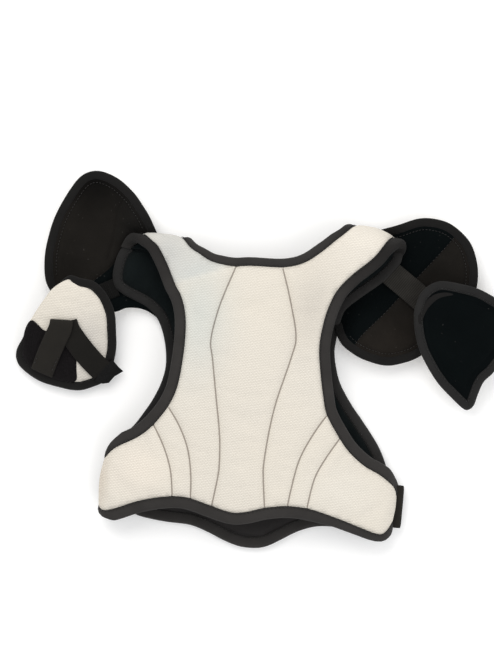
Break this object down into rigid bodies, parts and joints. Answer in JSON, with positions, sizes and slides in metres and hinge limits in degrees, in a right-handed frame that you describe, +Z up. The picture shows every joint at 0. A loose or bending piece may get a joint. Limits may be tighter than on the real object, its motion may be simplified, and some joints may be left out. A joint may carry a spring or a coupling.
{
  "type": "hockey shoulder pads",
  "caption": "Youth hockey shoulder pads lying chest down: padded back and chest panels folded at the shoulders, two shoulder caps, two strapped upper-arm guards and rib straps.",
  "frame": {"origin": "on the resting face of the chest panel, under the middle of the torso", "axes": "+X across the shoulders, +Y from hem to neck, +Z up out of the back panel"},
  "size_m": [0.541, 0.39, 0.0485],
  "materials": {
    "mesh_fabric": "cream white air-mesh knit",
    "foam": "closed-cell foam",
    "lining": "black brushed knit",
    "brushed_lining": "brown-black brushed knit",
    "binding": "charcoal fold-over tape",
    "elastic": "woven elastic webbing",
    "loop": "loop pile",
    "hook": "moulded hooks",
    "plate": "moulded polyethylene"
  },
  "bodies": {
    "chest": {"chest_cover": "mesh_fabric", "chest_lining": "lining", "sternum_plate": "plate", "chest_foam_centre": "foam", "chest_foam_left": "foam", "chest_foam_right": "foam", "binding_chest_left_armhole": "binding", "binding_chest_right_armhole": "binding", "binding_chest_hem": "binding", "binding_chest_neck": "binding", "side_loop_patch_left": "loop", "side_loop_patch_right": "loop", "shoulder_yoke_left": "mesh_fabric", "shoulder_yoke_right": "mesh_fabric", "shoulder_webbing_left": "elastic", "shoulder_webbing_right": "elastic"},
    "back": {"back_cover": "mesh_fabric", "back_lining": "lining", "spine_plate": "plate", "back_foam_spine": "foam", "back_foam_left_side": "foam", "back_foam_right_side": "foam", "back_foam_left_gusset": "foam", "back_foam_right_gusset": "foam", "back_foam_left_wing": "foam", "back_foam_right_wing": "foam", "binding_back_neck": "binding", "binding_back_left_armhole": "binding", "binding_back_right_armhole": "binding", "binding_back_hem": "binding"},
    "cap_left": {"cap_lining_left": "brushed_lining", "cap_foam_left": "foam", "cap_shell_left": "plate", "binding_cap_left": "binding", "link_elastic_left": "elastic"},
    "guard_left": {"guard_cover_left": "mesh_fabric", "guard_foam_left": "foam", "guard_lining_left": "lining", "binding_guard_left": "binding", "arm_loop_patch_left": "loop", "arm_strap_anchor_left": "elastic"},
    "arm_strap_left": {"arm_strap_left": "elastic", "arm_hook_tab_left": "hook"},
    "side_strap_left": {"side_strap_left": "elastic", "side_hook_tab_left": "hook"},
    "cap_right": {"cap_lining_right": "brushed_lining", "cap_foam_right": "foam", "cap_shell_right": "plate", "binding_cap_right": "binding", "link_elastic_right": "elastic"},
    "guard_right": {"guard_cover_right": "mesh_fabric", "guard_foam_right": "foam", "guard_lining_right": "lining", "binding_guard_right": "binding", "arm_loop_patch_right": "loop", "arm_strap_anchor_right": "elastic"},
    "arm_strap_right": {"arm_strap_right": "elastic", "arm_hook_tab_right": "hook"},
    "side_strap_right": {"side_strap_right": "elastic", "side_hook_tab_right": "hook"}
  },
  "joints": [
    {"name": "shoulder_fold", "type": "hinge", "parent": "chest", "child": "back", "pos_m": [-0.11, 0.136, 0.022], "axis": [-0.9945, -0.1045, 0], "range_deg": [0, 80]},
    {"name": "cap_flap_left", "type": "hinge", "parent": "chest", "child": "cap_left", "pos_m": [-0.128, 0.166, 0.018], "axis": [0.172, 0.9851, 0], "range_deg": [0, 45]},
    {"name": "cap_flap_right", "type": "hinge", "parent": "chest", "child": "cap_right", "pos_m": [0.097, 0.082, 0.018], "axis": [-0.5182, -0.8553, 0], "range_deg": [0, 45]},
    {"name": "guard_swing_left", "type": "hinge", "parent": "cap_left", "child": "guard_left", "pos_m": [-0.222, 0.108, 0.028], "axis": [-1, 0, 0], "range_deg": [0, 45]},
    {"name": "guard_swing_right", "type": "hinge", "parent": "cap_right", "child": "guard_right", "pos_m": [0.165, 0.101, 0.028], "axis": [-0.4138, -0.9104, 0], "range_deg": [0, 45]},
    {"name": "arm_strap_peel_left", "type": "hinge", "parent": "guard_left", "child": "arm_strap_left", "pos_m": [-0.198, 0.047, 0.045], "axis": [-0.7379, -0.6749, 0], "range_deg": [0, 120]},
    {"name": "arm_strap_peel_right", "type": "hinge", "parent": "guard_right", "child": "arm_strap_right", "pos_m": [0.257, 0.058, 0.012], "axis": [-0.9959, 0.09, 0], "range_deg": [0, 100]},
    {"name": "side_strap_open_left", "type": "hinge", "parent": "back", "child": "side_strap_left", "pos_m": [-0.15, -0.112, 0.012], "axis": [0, 1, 0], "range_deg": [0, 120]},
    {"name": "side_strap_open_right", "type": "hinge", "parent": "back", "child": "side_strap_right", "pos_m": [0.177, -0.112, 0.028], "axis": [0, -1, 0], "range_deg": [0, 150]}
  ]
}
